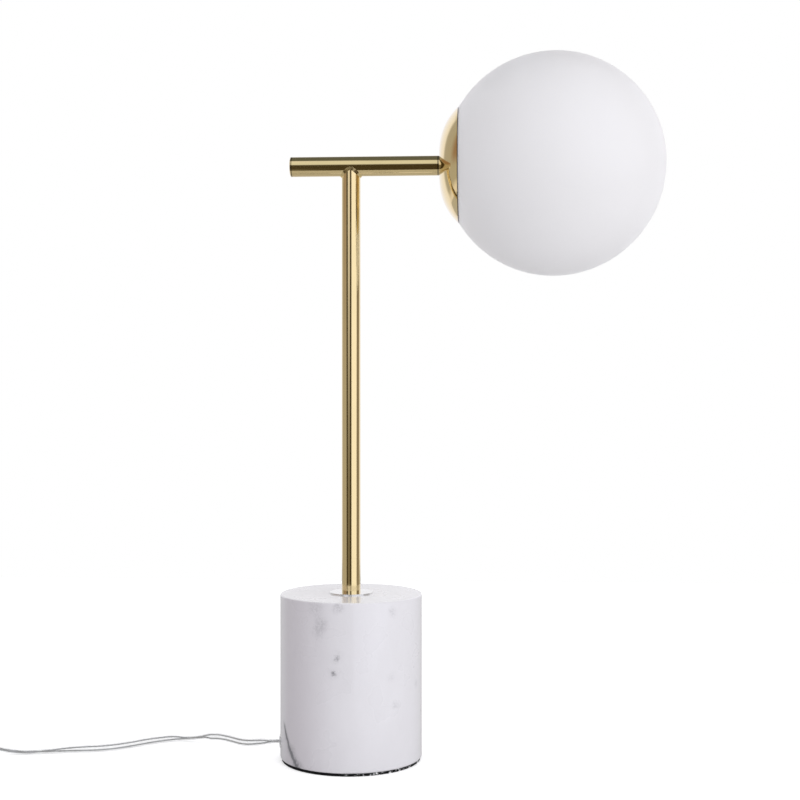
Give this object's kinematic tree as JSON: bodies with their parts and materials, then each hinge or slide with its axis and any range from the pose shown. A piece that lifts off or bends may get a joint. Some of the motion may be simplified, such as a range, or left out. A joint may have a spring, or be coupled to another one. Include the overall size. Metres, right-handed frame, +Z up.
{
  "type": "glass globe table lamp",
  "caption": "Table lamp with a marble cylinder base, a brass pole and arm, and an opal glass globe held by a spun brass dish on the end of the arm.",
  "frame": {"origin": "centre of the round foot pad on the surface that the lamp stands on", "axes": "+Z up along the pole, +X from the pole along the arm to the globe, +Y across the arm"},
  "size_m": [0.6414, 0.1546, 0.479],
  "materials": {
    "marble": "polished pale grey marble with soft mottling and one dark vein",
    "foot_pad": "black soft foam sheet",
    "clear_plastic": "clear moulded plastic",
    "black_nylon": "black moulded nylon",
    "clear_cord": "clear soft plastic over two tinned copper strands",
    "nickel": "nickel-plated satin steel",
    "zinc_steel": "zinc-plated steel",
    "brass": "polished lacquered brass",
    "braze": "polished filler metal",
    "opal_glass": "satin opal white glass",
    "white_silicone": "soft white silicone",
    "spring_steel": "bright spring steel",
    "holder_plastic": "black moulded phenolic plastic",
    "porcelain": "unglazed white porcelain",
    "contact_brass": "plain pressed brass",
    "bulb_cap_metal": "rolled thin aluminium",
    "bulb_plastic": "white moulded plastic",
    "bulb_glass": "satin white glass",
    "wire_brown": "brown insulated wire",
    "wire_blue": "blue insulated wire",
    "tie_plastic": "white plastic-coated tie",
    "switch_plastic": "white moulded plastic",
    "rocker_plastic": "white moulded plastic",
    "plug_plastic": "white soft moulded plastic",
    "pin_metal": "nickel-plated brass",
    "sleeve_plastic": "black pin sleeves"
  },
  "bodies": {
    "root": {"arm_collar": "brass", "arm_end_cap": "brass", "arm_tube": "brass", "base_lock_washer": "zinc_steel", "base_nut": "zinc_steel", "base_rod": "zinc_steel", "base_washer": "zinc_steel", "bulb_body": "bulb_plastic", "bulb_cap": "bulb_cap_metal", "bulb_dome": "bulb_glass", "bulb_tip": "bulb_cap_metal", "coil_tie": "tie_plastic", "cord_bush": "clear_plastic", "cord_coil": "clear_cord", "cord_grip": "black_nylon", "cord_lamp_side": "clear_cord", "cord_plug_side": "clear_cord", "cord_switch_side": "clear_cord", "dish": "brass", "dish_lock_washer": "zinc_steel", "dish_nut": "zinc_steel", "dish_rod": "zinc_steel", "dish_spacer": "zinc_steel", "foot_pad": "foot_pad", "glass_globe": "opal_glass", "globe_seal": "white_silicone", "globe_springs": "spring_steel", "holder_body": "holder_plastic", "holder_cap": "holder_plastic", "holder_contact": "contact_brass", "holder_core": "porcelain", "holder_screws": "contact_brass", "holder_shell": "contact_brass", "inner_cord": "clear_cord", "joint_braze": "braze", "marble_base": "marble", "plug_body": "plug_plastic", "plug_pins": "pin_metal", "plug_sleeves": "sleeve_plastic", "pole_tube": "brass", "spring_plate": "zinc_steel", "spring_rivets": "zinc_steel", "switch_contacts": "contact_brass", "switch_lower": "switch_plastic", "switch_screws": "zinc_steel", "switch_upper": "switch_plastic", "top_disc": "nickel", "wire_live": "wire_brown", "wire_neutral": "wire_blue"},
    "rocker": {"switch_rocker": "rocker_plastic"}
  },
  "joints": [
    {"name": "rocker_tilt", "type": "hinge", "parent": "root", "child": "rocker", "pos_m": [-0.298, -0.0152, 0.015], "axis": [0.1392, -0.9903, 0], "range_deg": [0, 14]}
  ]
}
